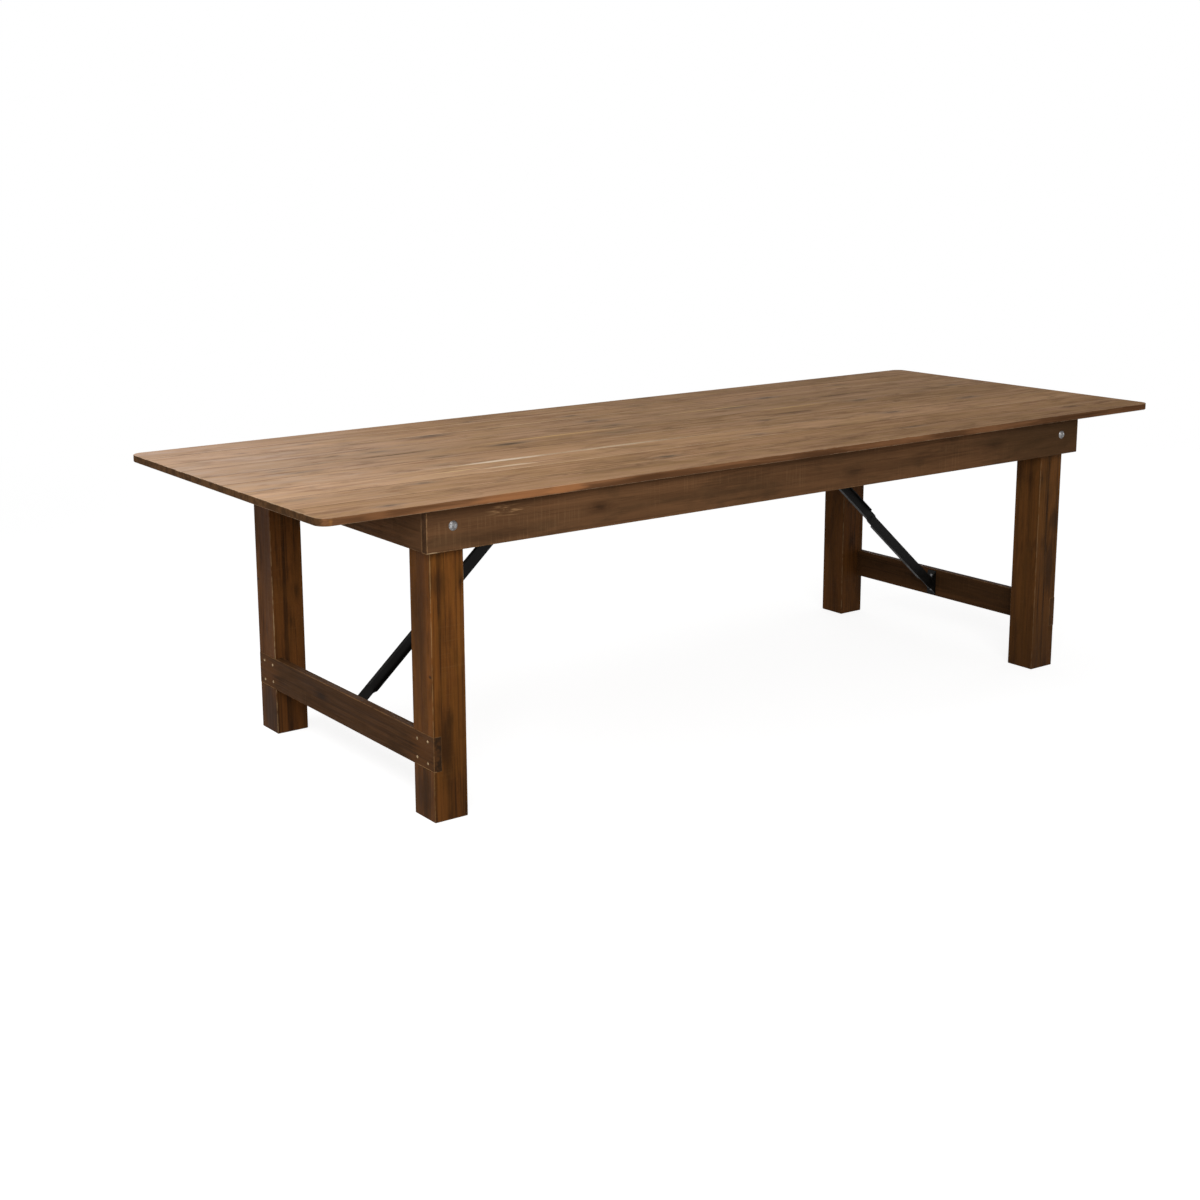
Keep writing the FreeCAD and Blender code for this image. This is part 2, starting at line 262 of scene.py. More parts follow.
def growth_rings(net, board, look, seed, shift, pith, knots, across, fray):
    """The late wood of rings about a wandering pith, drawn round each knot, with the knots'
    cores and the darker wood around them."""
    sway = 0.05
    ripple_rings = 1.6
    faintest_ring = 0.15
    rings_round_knot = 330
    knot_width_to_length = 0.36
    u, v, w = net.split(board)
    wander = net.split(net.noise(board, (1.3, 9, 9), shift, 2.0, 0.5, 0.0, True))
    away_v = net.fused(wander[0], sway, net.minus(v, pith[0] + sway / 2))
    away_w = net.fused(wander[1], sway, net.minus(w, pith[1] + sway / 2))
    ripple = net.noise(board, (6, 50, 50), shift, 3.0)
    ring = net.fused(net.length(away_v, away_w), 1 / look["ring"], net.times(ripple, ripple_rings))
    cores = []
    halos = []
    for knot_u, knot_v, radius in knots:
        du = net.times(net.minus(u, knot_u), knot_width_to_length / radius)
        dv = net.math("DIVIDE", net.minus(across, knot_v), radius)
        # How far a point is from the knot, in radii
        far = net.length(du, dv)
        cores.append(net.span(net.fused(fray, 1.7, far), 0.85, 1.95, 1.0, 0.0))
        halos.append(net.span(far, 0.2, 2.6, 1.0, 0.0))
        ring = net.fused(net.times(halos[-1], halos[-1]), radius * rings_round_knot, ring)
    # A ring darkens slowly and ends sharply, and each has a strength of its own
    part = net.math("FRACT", ring)
    late = net.times(net.span(part, 0.25, 0.88), net.span(part, 0.9, 1.0, 1.0, 0.0))
    each = net.random(net.math("ADD", net.math("FLOOR", ring), seed * 7.0))
    late = net.times(late, net.fused(each, 1 - faintest_ring, faintest_ring))
    return late, cores, halos


def rim_tones(net, rim, inside, side, streak, fibre):
    """Where the top's rim is, and its colour there, darker on the end grain."""
    edge_blur = 0.0003
    corner_blur = 0.012
    depth = 0.001
    on_rim = net.span(net.minus(inside[2], side), -edge_blur, edge_blur)
    on_rim = net.times(on_rim, net.span(side, depth, 2 * depth, 1.0, 0.0))
    at_end = net.span(net.minus(inside[1], inside[0]), -corner_blur, corner_blur)
    streaky = net.span(streak, 0.38, 0.62)
    long_side = net.mix(streaky, colour(*rim["light"]), colour(*rim["dark"]))
    end_side = net.mix(streaky, colour(*rim["end_light"]), colour(*rim["end_dark"]))
    tone = net.mix(at_end, long_side, end_side)
    return on_rim, net.mix(net.span(fibre, 0.5, 0.75, 0.0, 0.5), tone, colour(*rim["dark"]))


def wood(name, grain, look, seed, box, pith, knots=(), wide="w", seams=(), rim=None,
         patches=(), figures=(), tint=None):
    """Stained wood for one board. Its grain runs along one axis, and its growth rings lie
    about a pith at two coordinates across the grain. Knots and figures lie on the board's
    wide face, which runs along v or w. Each knot is (along, across, radius), each patch
    (middle, reach on each axis, colour, share) and each figure (along, across, half length,
    half width) of a place where the stain is rubbed off the grain."""
    knot_share = 0.62
    gap_share = 0.85
    seam_line_share = 0.62
    end_share = 0.8
    edge_blur = 0.0009
    face_blur = 0.002
    net = Net(name)
    along, first, second = GRAIN[grain]
    coordinates = net.add("TexCoord").outputs["Object"]
    place = net.split(coordinates)
    u, v, w = place[along], place[first], place[second]
    board = net.vector(u, v, w)
    shift = (seed * 3.17, seed * 1.31, seed * 2.03)
    other = (shift[1], shift[2], shift[0])
    third = (shift[2], shift[0], shift[1])
    across = v if wide == "w" else w

    inside = depths(net, place, box)
    if rim:
        # The outline of the whole top, with its rounded corners
        short_x = net.math("MAXIMUM", net.minus(rim["radius"], inside[0]), 0.0)
        short_y = net.math("MAXIMUM", net.minus(rim["radius"], inside[1]), 0.0)
        side = net.minus(rim["radius"], net.length(short_x, short_y))
        edge = net.math("MAXIMUM", side, inside[2])
    else:
        edge = net.math("MAXIMUM", net.math("MINIMUM", inside[0], inside[1]),
                        net.math("MINIMUM", net.math("MAXIMUM", inside[0], inside[1]), inside[2]))
    fray = net.noise(board, (24, 130, 130), shift, 3.0, 0.6)
    late, cores, halos = growth_rings(net, board, look, seed, shift, pith, knots, across, fray)

    # Bands, stripes, fine lines, fibre and stain
    streak = net.noise(board, (1.6, 46, 46), shift, 4.0, 0.62, 0.4)
    band = net.noise(board, (0.7, 15, 15), shift, 3.0, 0.55, 0.6)
    stripe = net.noise(board, (1.7, look["stripe"], look["stripe"]), other, 3.0, 0.55, 0.6)
    lines = net.noise(board, (3.2, 310, 310), other, 2.0, 0.55, 0.2)
    fibre = net.noise(board, (9, 520, 520), shift, 2.0, 0.6)
    pores = net.noise(board, (24, 950, 950), shift, 2.0, 0.6)
    blotch = net.noise(board, (look["stain_long"], 15, 15), shift, 4.0, 0.65, 0.7)
    patchy = net.span(net.noise(board, (2.6, 18, 18), other, 2.0), 0.38, 0.6)
    tone = net.mix(net.span(net.fused(band, 0.5, net.times(streak, 0.5)), 0.38, 0.62),
                   colour(*look["early"]), colour(*look["mid"]))

    def lay(cover, key):
        """Lay one of the look's colours over the wood."""
        nonlocal tone
        tone = net.mix(cover, tone, colour(*look[key]))

    stripe_share = look["stripe_share"]
    if look["calm"] < 1:
        # The faces towards the ends of the table show a calmer cut of the wood
        face = net.span(net.minus(inside[0], inside[1]), -face_blur, face_blur, look["calm"], 1.0)
        stripe_share = net.times(face, stripe_share)
    lay(net.times(net.span(stripe, 0.5, 0.64), stripe_share), "late")
    lay(net.times(net.span(stripe, 0.47, 0.34, 0.0, 0.6), stripe_share), "early")
    lay(net.times(net.times(net.span(lines, 0.57, 0.7), patchy), look["line_share"]), "late")
    lay(net.times(late, look["ring_share"]), "late")
    lay(net.times(net.span(blotch, 0.48, 0.7), look["stain_share"]), "stain")
    lay(net.span(fibre, 0.52, 0.78, 0.0, 0.45), "pore")
    lay(net.span(fibre, 0.46, 0.25, 0.0, 0.25), "early")
    # The height rises and sinks with each kind of mark
    height = net.fused(late, 0.25, net.times(fibre, -0.8))
    height = net.fused(pores, -0.3, height)

    # Knots
    if knots:
        core = net.largest(cores)
        halo = net.largest(halos)
        smudge = net.times(halo, net.span(streak, 0.36, 0.6, 0.15, 0.85))
        lay(smudge, "smudge")
        lay(net.times(core, knot_share), "knot")
        height = net.fused(core, -0.5, height)

    # A warmer cast from place to place
    if look["fleck_share"]:
        cast = net.noise(board, (7, 24, 24), other, 2.0, 0.5, 0.8)
        lay(net.times(net.span(cast, 0.42, 0.62), look["cast_share"]), "cast")

    # Grey weathered places
    if look["grey_share"]:
        pale = net.noise(board, (4.5, 26, 26), third, 3.0, 0.6, 0.5)
        pale = net.times(net.span(pale, 0.46, 0.62, 0.55, 1.0), net.span(u, -1.25, -0.5, 1.0, 0.1))
        lay(net.times(pale, look["grey_share"]), "grey")

    # Short flecks, thick in some places and thin in others
    if look["fleck_share"]:
        fleck = net.noise(board, (8, 36, 36), third, 5.0, 0.66, 0.3)
        thick = net.fused(patchy, 0.75 * look["fleck_share"], 0.25 * look["fleck_share"])
        lay(net.times(net.span(fleck, 0.5, 0.66), thick), "fleck")
        lay(net.times(net.span(fleck, 0.47, 0.37, 0.0, 0.5), thick), "early")

    # Saw marks across the grain
    if look["saw_share"]:
        teeth = net.noise(board, (300, 6, 6), shift, 2.0, 0.6)
        patch = net.noise(board, (5, 17, 17), other, 2.0)
        saw = net.times(net.span(teeth, 0.52, 0.7), net.span(patch, 0.44, 0.64, 0.1, 1.0))
        lay(net.times(saw, look["saw_share"]), "worn")
        height = net.fused(saw, 0.35 * look["saw_share"], height)

    # A light line along a plank's seams, and a dark gap where the line is missing
    for seam in seams:
        away = net.math("ABSOLUTE", net.minus(place[1], seam))
        along_seam = net.noise(board, (2.1, 3, 3), (shift[2], seam * 40, shift[0]), 3.0, 0.6)
        lined = net.span(along_seam, 0.47, 0.6)
        gap = net.span(away, 0.0004, 0.0022, gap_share, 0.0)
        lay(net.times(gap, net.minus(1.0, lined)), "knot")
        line = net.times(net.span(away, 0.0012, 0.0032, 1.0, 0.0), lined)
        lay(net.times(line, seam_line_share), "worn")

    # Dark ends and the top's rim
    if rim:
        on_rim, rim_tone = rim_tones(net, rim, inside, side, streak, fibre)
        tone = net.mix(on_rim, tone, rim_tone)
    else:
        speckled = net.span(net.noise(board, (40, 420, 90), other, 2.0), 0.4, 0.62, 0.0, 0.7)
        end_tone = net.mix(speckled, colour(*look["end"]), colour(*look["pore"]))
        at_end = net.span(inside[along], 0.0002, 0.0012, end_share, 0.0)
        tone = net.mix(at_end, tone, end_tone)

    # Stained and rubbed patches, and on the stretchers painted light by the legs
    for middle, reach, shade, share in patches:
        # How far a point is from the middle, in reaches, with a ragged outline
        far = net.add("VectorMath")
        far.operation = "LENGTH"
        net.link(net.scaled(coordinates, [1 / size for size in reach],
                            [-at / size for at, size in zip(middle, reach)]), far.inputs[0])
        ragged = net.fused(stripe, 2.0, net.fused(fray, 0.9, far.outputs["Value"]))
        tone = net.mix(net.span(ragged, 1.75, 2.75, share, 0.0), tone, colour(*shade))
    for at_u, at_w, half_u, half_w in figures:
        du = net.times(net.minus(u, at_u), 1 / half_u)
        dw = net.times(net.minus(across, at_w), 1 / half_w)
        stroke = net.span(net.noise(board, (14, 170, 170), other, 3.0, 0.6, 0.8), 0.5, 0.62)
        spot = net.span(net.fused(fray, 0.6, net.length(du, dw)), 0.7, 1.3, 0.6, 0.0)
        lay(net.times(stroke, spot), "worn")

    # Worn edges
    chips = net.noise(board, (38, 60, 60), shift, 3.0, 0.65)
    worn_to = net.fused(chips, 3.0 * look["worn_width"], -0.95 * look["worn_width"])
    worn = net.span(net.minus(edge, worn_to), 0.0, edge_blur, 1.0, 0.0)
    worn = net.times(worn, net.span(band, 0.38, 0.6, 0.3, 1.0))
    lay(net.times(worn, look["worn_share"]), "worn")

    # Painted shade: darker towards the floor, where the legs get less light
    if look["painted_foot_shade"]:
        lay(net.span(net.fused(band, 0.3, place[2]), 0.1, 0.6, look["painted_foot_shade"], 0.0), "late")
    # The tint multiplies the colour; on the back and right legs it is painted shade
    if tint:
        tone = net.mix(1.0, tone, (*tint, 1.0), "MULTIPLY")
    net.link(tone, net.shader.inputs["Base Color"])
    rough = net.span(net.fused(fibre, 0.5, net.times(blotch, 0.5)), 0.35, 0.65, *look["rough"])
    net.link(rough, net.shader.inputs["Roughness"])
    net.shader.inputs["Specular IOR Level"].default_value = look["specular"]
    net.bump(height, distance=0.0006, strength=0.6)
    return net.material


def give(node, material):
    """Set a CAD node's one material."""
    data = nodes[node].data
    data.materials.clear()
    data.materials.append(material)


top_low, top_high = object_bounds()
top_low = Vector((top_low.x, top_low.y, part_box("top_plank_1")[0].z))
table_box = (top_low, top_high)
left_end, back_edge = top_low.x, top_high.y

# The top's knots, as (from the left end, from the back edge, radius)
TOP_KNOTS = [
    (0.225, 0.175, 0.010), (0.423, 0.140, 0.008), (0.747, 0.225, 0.013), (1.242, 0.279, 0.013),
    (1.237, 0.382, 0.014), (0.387, 0.355, 0.010), (0.504, 0.360, 0.013), (0.315, 0.423, 0.009),
    (0.185, 0.450, 0.012), (0.212, 0.504, 0.013), (0.590, 0.515, 0.014), (0.850, 0.463, 0.015),
    (1.183, 0.486, 0.018), (0.540, 0.625, 0.013), (0.072, 0.648, 0.011), (0.387, 0.796, 0.010),
    (0.063, 0.801, 0.010), (1.251, 0.171, 0.012), (0.189, 0.976, 0.009), (1.52, 0.12, 0.012),
    (1.71, 0.33, 0.014), (1.93, 0.24, 0.012), (2.12, 0.45, 0.013), (2.31, 0.16, 0.011),
    (1.64, 0.57, 0.013), (2.02, 0.68, 0.012), (2.42, 0.60, 0.012), (1.45, 0.74, 0.013),
    (1.05, 0.86, 0.012), (1.88, 0.90, 0.011), (2.51, 0.92, 0.011), (2.58, 0.38, 0.010),
    (0.96, 0.08, 0.010),
]

# The top's corner radius and the colours of its rim
TOP_RIM = dict(radius=0.03, light=(152, 107, 73), dark=(106, 72, 47),
               end_light=(90, 64, 41), end_dark=(66, 47, 30))
# Each plank's tint, from the back plank to the front one
PLANK_TINTS = [
    (0.96, 0.96, 0.97), (1.0, 1.0, 1.0), (1.0, 1.01, 1.03), (0.93, 0.94, 0.95), (0.93, 0.92, 0.9),
    (1.0, 0.99, 0.97), (1.08, 1.07, 1.04), (0.96, 0.93, 0.88), (0.92, 0.9, 0.87),
]
# How much of each plank's left end is weathered grey
PLANK_GREYS = (0.66, 0.64, 0.62, 0.6, 0.6, 0.52, 0.42, 0.3, 0.14)

# Light and dark streaks on the top, as (middle, reach, colour, share)
TOP_PATCHES = [
    ((-1.345, -0.506, 0.752), (0.006, 0.006, 0.01), (156, 110, 62), 0.8),
    ((-1.235, -0.508, 0.753), (0.04, 0.006, 0.012), (160, 111, 73), 0.4),
    ((-0.87, -0.508, 0.753), (0.12, 0.006, 0.012), (182, 124, 80), 0.6),
    ((-0.74, -0.508, 0.753), (0.05, 0.006, 0.012), (190, 130, 84), 0.55),
    ((-0.5, -0.508, 0.753), (0.06, 0.006, 0.012), (88, 58, 36), 0.5),
    ((0.04, -0.508, 0.753), (0.1, 0.006, 0.012), (72, 47, 30), 0.6),
    ((0.53, -0.508, 0.753), (0.09, 0.006, 0.012), (68, 44, 26), 0.6),
    ((0.98, -0.508, 0.753), (0.24, 0.006, 0.012), (70, 46, 28), 0.6),
    ((-0.35, 0.0823, 0.762), (0.3, 0.0085, 0.012), (204, 164, 116), 0.95),
    ((0.5, 0.0823, 0.762), (0.16, 0.0085, 0.012), (202, 164, 116), 0.9),
    ((-0.86, 0.0823, 0.762), (0.14, 0.006, 0.012), (80, 64, 50), 0.8),
    ((-0.67, -0.1483, 0.762), (0.13, 0.011, 0.012), (216, 196, 174), 0.95),
    ((-0.3, -0.1483, 0.762), (0.26, 0.009, 0.012), (204, 182, 154), 0.8),
    ((-0.7, -0.218, 0.762), (0.09, 0.0095, 0.012), (210, 188, 162), 0.85),
    ((-0.84, -0.206, 0.762), (0.09, 0.009, 0.012), (206, 174, 132), 0.8),
    ((0.3, 0.19, 0.762), (0.2, 0.0075, 0.012), (196, 158, 112), 0.8),
    ((-0.53, 0.04, 0.762), (0.06, 0.012, 0.01), (84, 68, 54), 0.6),
    ((0.42, 0.0, 0.762), (0.1, 0.014, 0.01), (80, 64, 50), 0.6),
    ((0.76, 0.18, 0.762), (0.09, 0.012, 0.01), (78, 62, 48), 0.55),
    ((-0.632, 0.267, 0.762), (0.07, 0.009, 0.01), (92, 78, 66), 0.6),
]

# How far past a seam a patch still shows on the next plank
seam_reach = 0.004
# A board's pith lies outside it. The planks' lie below them, not all in the same place.
pith_below, pith_rises, pith_aside = 0.05, 0.02, 0.03
for number, (tint, grey_share) in enumerate(zip(PLANK_TINTS, PLANK_GREYS), 1):
    node = "top_plank_%d" % number
    plank_low, plank_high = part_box(node)
    knots = []
    for from_left, from_back, radius in TOP_KNOTS:
        if plank_low.y < back_edge - from_back < plank_high.y:
            knots.append((left_end + from_left, back_edge - from_back, radius))
    # The sides where it meets another plank
    seams = [side for side in (plank_low.y, plank_high.y) if abs(side) < back_edge - 0.001]
    middle = (plank_low.y + plank_high.y) / 2
    pith = (middle + pith_aside * math.sin(number * 2.4),
            plank_low.z - pith_below - pith_rises * math.cos(number * 1.7))
    look = dict(LOOKS["top"], grey_share=grey_share)
    low_side, high_side = plank_low.y - seam_reach, plank_high.y + seam_reach
    patches = [patch for patch in TOP_PATCHES if low_side < patch[0][1] < high_side]
    give(node, wood("top_wood_%d" % number, "x", look, number, table_box, pith, knots,
                    seams=seams, rim=TOP_RIM, tint=tint, patches=patches))

# The long aprons, each with its knots, figures and patches
LONG_APRONS = {
    "front_apron": ([(0.2, 0.68, 0.011), (0.74, 0.7, 0.009), (-0.62, 0.69, 0.008)],
                    [(-0.875, 0.716, 0.075, 0.017)],
                    [((-1.078, -0.472, 0.6415), (0.016, 0.006, 0.0022), (206, 176, 136), 0.8),
                     ((-0.9, -0.472, 0.66), (0.09, 0.01, 0.012), (62, 42, 27), 0.5),
                     ((0.98, -0.472, 0.69), (0.3, 0.02, 0.09), (68, 49, 30), 0.6)]),
    "back_apron": ([(-0.35, 0.69, 0.010), (0.6, 0.7, 0.010)], [], []),
}
# How far to one side of each board its pith lies, and how high
pith_aside, pith_z = 0.06, 0.655
for order, (node, (knots, figures, patches)) in enumerate(LONG_APRONS.items()):
    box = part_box(node)
    pith = ((box[0].y + box[1].y) / 2 - pith_aside, pith_z)
    give(node, wood(node + "_wood", "x", LOOKS["apron"], 20 + order, box, pith, knots, wide="v",
                    figures=figures, patches=patches))

pith_aside, pith_z = 0.07, 0.7
for order, node in enumerate(("left_end_apron", "right_end_apron")):
    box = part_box(node)
    pith = ((box[0].x + box[1].x) / 2 - pith_aside, pith_z)
    give(node, wood(node + "_wood", "y", LOOKS["apron"], 30 + order, box, pith,
                    [(0.12, 0.69, 0.009)], wide="v"))

# Each leg's tint: the front left leg a little darker and yellower, the back and right legs much
# darker as painted shade
LEG_TINTS_AND_SHADE = {
    "left_front_leg": (0.9, 0.9, 0.8), "left_back_leg": (0.72, 0.73, 0.76),
    "right_front_leg": (0.63, 0.7, 0.8), "right_back_leg": (0.74, 0.78, 0.82),
}
# Where the pith lies from the middle of each leg
pith_x, pith_y = 0.075, 0.012
for order, (node, tint) in enumerate(LEG_TINTS_AND_SHADE.items()):
    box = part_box(node)
    middle = (box[0] + box[1]) / 2
    pith = (middle.x + pith_x, middle.y + pith_y)
    outer = box[0].x if middle.x < 0 else box[1].x
    face = box[0].y if middle.y < 0 else box[1].y
    inward = 1 if middle.x < 0 else -1
    back_way = 1 if middle.y < 0 else -1
    # Marks sit at other heights on the next legs
    lift = 0.06 * (order % 3)
    patches = [
        ((outer + 0.034 * inward, face, 0.18 + lift), (0.02, 0.012, 0.085), (46, 28, 14), 0.7),
        ((outer + 0.02 * inward, face, 0.045), (0.03, 0.012, 0.045), (128, 78, 37), 0.45),
        ((outer + 0.018 * inward, face, 0.56 - lift), (0.022, 0.012, 0.035), (54, 34, 18), 0.6),
        ((outer + 0.074 * inward, face, 0.43), (0.012, 0.01, 0.12), (142, 88, 40), 0.5),
        ((outer, face + 0.0035 * back_way, 0.43 - lift), (0.006, 0.008, 0.1), (136, 84, 44), 0.6),
        ((outer, face + 0.008 * back_way, 0.347 + lift), (0.006, 0.007, 0.004), (26, 17, 10), 0.8),
        ((outer, face + 0.055 * back_way, 0.47), (0.01, 0.03, 0.2), (72, 45, 24), 0.6),
        ((outer, face + 0.05 * back_way, 0.06), (0.01, 0.05, 0.09), (38, 25, 12), 0.7),
    ]
    knots = [(0.566, outer + 0.081 * inward, 0.0062), (0.38, outer + 0.068 * inward, 0.0055),
             (0.24 + lift, outer + 0.05 * inward, 0.006)]
    give(node, wood(node + "_wood", "z", LOOKS["leg"], 40 + order, box, pith, knots,
                    patches=patches, tint=tint))

pith_aside, pith_z = 0.05, 0.15
joint_y = 0.4
for order, node in enumerate(("left_stretcher", "right_stretcher")):
    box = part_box(node)
    pith = ((box[0].x + box[1].x) / 2 - pith_aside, pith_z)
    outer = box[0].x if box[0].x < 0 else box[1].x
    # Painted light: lighter, more orange wood by each leg joint, leaving the middle of the
    # stretcher darker as painted shade
    patches = [((outer, way * joint_y, 0.165), (0.02, 0.07, 0.05), (104, 66, 36), 0.5)
               for way in (-1, 1)]
    patches += [((outer, way * joint_y, box[0].z), (0.02, 0.045, 0.0022), (176, 136, 92), 0.7)
                for way in (-1, 1)]
    look = LOOKS["stretcher"]
    if node == "right_stretcher":
        # Lighter end grain
        look = dict(look, end=(88, 60, 36), pore=(56, 38, 22))
    give(node, wood(node + "_wood", "y", look, 50 + order, box, pith, [(0.1, 0.17, 0.008)],
                    wide="v", patches=patches))

pith_below = 0.06
hidden = [name for name in nodes if name.endswith(("_batten", "_cleat"))]
for order, node in enumerate(sorted(hidden)):
    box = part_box(node)
    middle = (box[0] + box[1]) / 2
    long_cleat = node in ("front_cleat", "back_cleat")
    grain = "x" if long_cleat else "y"
    pith = (middle.y if long_cleat else middle.x, middle.z - pith_below)
    give(node, wood(node + "_wood", grain, LOOKS["hidden"], 60 + order, box, pith))


# Metal


def zinc(name, light, dark, spots):
    """Zinc mottled in two colours, with spots of a third."""
    net = Net(name)
    place = net.add("TexCoord").outputs["Object"]
    cloud = net.noise(place, (190, 190, 190), (0, 0, 0), 3.0)
    speck = net.noise(place, (700, 700, 700), (5, 5, 5), 2.0)
    tone = net.mix(net.span(cloud, 0.38, 0.62), colour(*light), colour(*dark))
    tone = net.mix(net.span(speck, 0.55, 0.72, 0.0, 0.6), tone, colour(*spots))
    net.link(tone, net.shader.inputs["Base Color"])
    net.shader.inputs["Metallic"].default_value = 1.0
    net.link(net.span(cloud, 0.3, 0.7, 0.42, 0.62), net.shader.inputs["Roughness"])
    net.bump(speck, distance=0.0002, strength=0.4)
    return net.material


def black_steel():
    """Black painted steel with a little grit."""
    net = Net("black_steel")
    place = net.add("TexCoord").outputs["Object"]
    cloud = net.noise(place, (30, 30, 30), (0, 0, 0), 4.0, 0.6)
    grit = net.noise(place, (900, 900, 900), (3, 1, 2), 2.0)
    tone = net.mix(net.span(cloud, 0.35, 0.7), colour(7, 6, 5), colour(14, 12, 10))
    tone = net.mix(net.span(grit, 0.66, 0.78, 0.0, 0.3), tone, colour(58, 54, 50))
    net.link(tone, net.shader.inputs["Base Color"])
    net.shader.inputs["Metallic"].default_value = 0.0
    net.shader.inputs["Specular IOR Level"].default_value = 0.12
    net.link(net.span(cloud, 0.3, 0.7, 0.42, 0.58), net.shader.inputs["Roughness"])
    net.bump(grit, distance=0.0001, strength=0.25)
    return net.material


zinc_steel = zinc("zinc_steel", (154, 153, 153), (108, 107, 107), (74, 70, 66))
screw_steel = zinc("screw_steel", (176, 152, 118), (126, 106, 80), (78, 64, 50))
brace_steel = black_steel()
for name in nodes:
    if name.startswith("leg_"):
        give(name, zinc_steel)
    elif name.endswith(("_link", "_bracket", "_rivet")):
        give(name, brace_steel)


# Small screws


def screw_head(name, at, towards, turn, material, slot, body, radius, rise):
    """A domed screw head with a cross recess, on a surface at a point and facing one way."""
    rings = 9
    sides = 48
    roundness = 2.6
    recess_depth = 0.0013
    recess_reach = 0.58 * radius
    recess_half_width = 0.00055
    recess_taper = 0.1
    points = [Vector((0, 0, rise - recess_depth))]
    for step in range(1, rings + 1):
        reach = radius * step / rings
        crown = rise * (1 - (step / rings) ** roundness) if step < rings else 0.0
        for side in range(sides):
            angle = 2 * math.pi * side / sides
            x, y = reach * math.cos(angle), reach * math.sin(angle)
            half_width = recess_half_width - recess_taper * max(abs(x), abs(y))
            in_cross = min(abs(x), abs(y)) < half_width and reach < recess_reach
            points.append(Vector((x, y, crown - (recess_depth if in_cross else 0))))
    faces = [(0, 1 + side, 1 + (side + 1) % sides) for side in range(sides)]
    for step in range(rings - 1):
        for side in range(sides):
            near, far = 1 + step * sides, 1 + (step + 1) * sides
            after = (side + 1) % sides
            faces.append((near + side, far + side, far + after, near + after))
    mesh = bpy.data.meshes.new(name)
    spin = Matrix.Rotation(turn, 4, "Z")
    face_way = Vector(towards).to_track_quat("Z", "Y").to_matrix().to_4x4()
    move = Matrix.Translation(at) @ face_way @ spin
    mesh.from_pydata([move @ point for point in points], [], faces)
    mesh.materials.append(material)
    for face in mesh.polygons:
        face.use_smooth = True
    piece = bpy.data.objects.new(name, mesh)
    bpy.context.scene.collection.objects.link(piece)
    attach(piece, body)


# Four screws at each leg, as (towards the other leg, up) from the middle of the joint
JOINT_SCREWS = [(0.0284, 0.0218), (-0.0181, 0.0252), (0.0292, -0.0235), (-0.0172, -0.0269)]
joint_screw = dict(material=screw_steel, slot="zinc_steel", radius=0.0036, rise=0.0014)
# How much further than the last one each screw is turned
joint_turn, bracket_turn = 0.7, 0.9

# Two screws through each bracket's flange, so far from its middle and beside its link
top_spread, foot_spread = 0.0186, 0.0228
beside_link = 0.0015
flange_thickness = 0.003
bracket_screw = dict(material=zinc_steel, slot="zinc_steel", radius=0.0042, rise=0.0018)

for end, sign in (("left", -1), ("right", 1)):
    legs = end + "_legs"
    stretcher_low, stretcher_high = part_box(end + "_stretcher")
    face_x = stretcher_high.x if sign > 0 else stretcher_low.x
    middle_z = (stretcher_low.z + stretcher_high.z) / 2
    for leg, way in (("front", -1), ("back", 1)):
        leg_low, leg_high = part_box(end + "_" + leg + "_leg")
        leg_y = (leg_low.y + leg_high.y) / 2
        for number, (inward, up) in enumerate(JOINT_SCREWS):
            at = (face_x, leg_y - way * inward, middle_z + up)
            screw_head("%s_%s_joint_screw_%d" % (end, leg, number + 1), at, (sign, 0, 0),
                       number * joint_turn + sign, body=legs, **joint_screw)

    flange_low, flange_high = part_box(end + "_top_bracket")
    middle_x = (flange_low.x + flange_high.x) / 2
    flange_z = flange_high.z - flange_thickness
    screw_y = (flange_low.y + flange_high.y) / 2 - sign * beside_link
    for number, step in enumerate((-top_spread, top_spread)):
        at = (middle_x + step, screw_y, flange_z)
        screw_head("%s_top_bracket_screw_%d" % (end, number + 1), at, (0, 0, -1),
                   number * bracket_turn, body="table_top", **bracket_screw)

    flange_low, flange_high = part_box(end + "_foot_bracket")
    middle_z = (flange_low.z + flange_high.z) / 2
    flange_x = flange_low.x + flange_thickness if sign < 0 else flange_high.x - flange_thickness
    screw_y = (flange_low.y + flange_high.y) / 2 + sign * beside_link
    for number, step in enumerate((-foot_spread, foot_spread)):
        at = (flange_x, screw_y, middle_z + step)
        screw_head("%s_foot_bracket_screw_%d" % (end, number + 1), at, (-sign, 0, 0),
                   number * bracket_turn, body=legs, **bracket_screw)


# Floor, light and camera

white = (1, 1, 1, 1)


